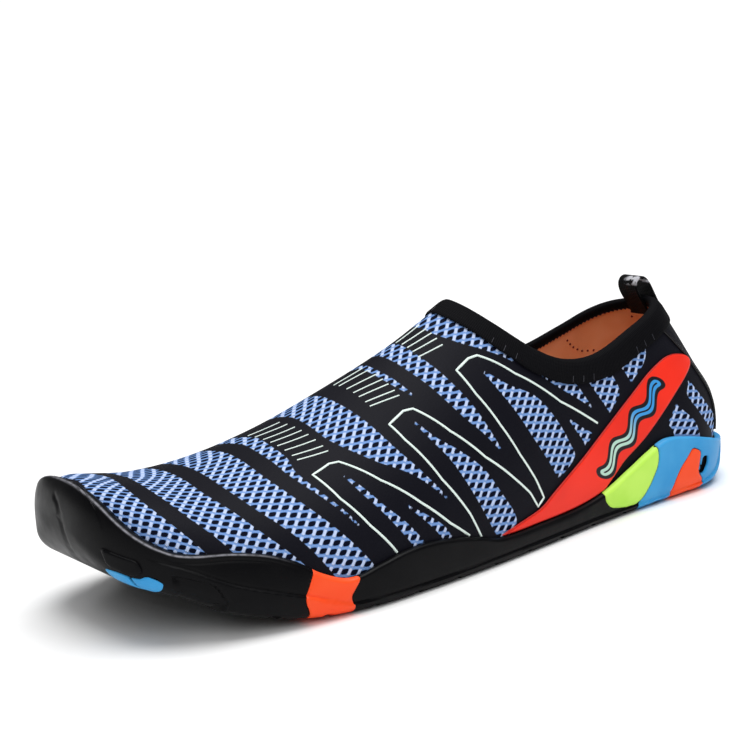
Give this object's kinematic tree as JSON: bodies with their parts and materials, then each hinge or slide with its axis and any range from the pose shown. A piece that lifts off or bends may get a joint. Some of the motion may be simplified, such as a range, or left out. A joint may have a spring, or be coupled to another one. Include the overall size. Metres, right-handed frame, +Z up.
{
  "type": "water shoe",
  "caption": "Left slip-on water shoe: stretch mesh upper, bound collar, heel pull loop and a moulded rubber sole that turns up over the toe.",
  "frame": {"origin": "on the floor under the middle of the shoe's length and width", "axes": "+X towards the toe, +Y to the outer side of the foot, +Z up"},
  "size_m": [0.2698, 0.105, 0.0845],
  "materials": {
    "black_rubber": "semi-gloss",
    "tan_lining": "matte",
    "patterned_mesh": "matte",
    "black_tape": "matte",
    "red_film": "satin",
    "blue_rubber": "satin",
    "lime_rubber": "satin",
    "orange_rubber": "satin"
  },
  "bodies": {
    "root": {"outsole": "black_rubber", "insole": "tan_lining", "upper": "patterned_mesh", "collar_binding": "black_tape", "pull_loop": "black_tape", "heel_tape": "black_tape", "side_panel_outer": "red_film", "side_panel_inner": "red_film", "heel_block_blue": "blue_rubber", "heel_block_lime_outer": "lime_rubber", "heel_block_lime_inner": "lime_rubber", "heel_stripe_outer": "orange_rubber", "heel_stripe_inner": "orange_rubber", "ball_block_outer": "orange_rubber", "ball_block_inner": "orange_rubber", "toe_block_outer": "blue_rubber", "toe_block_inner": "blue_rubber"}
  },
  "joints": []
}
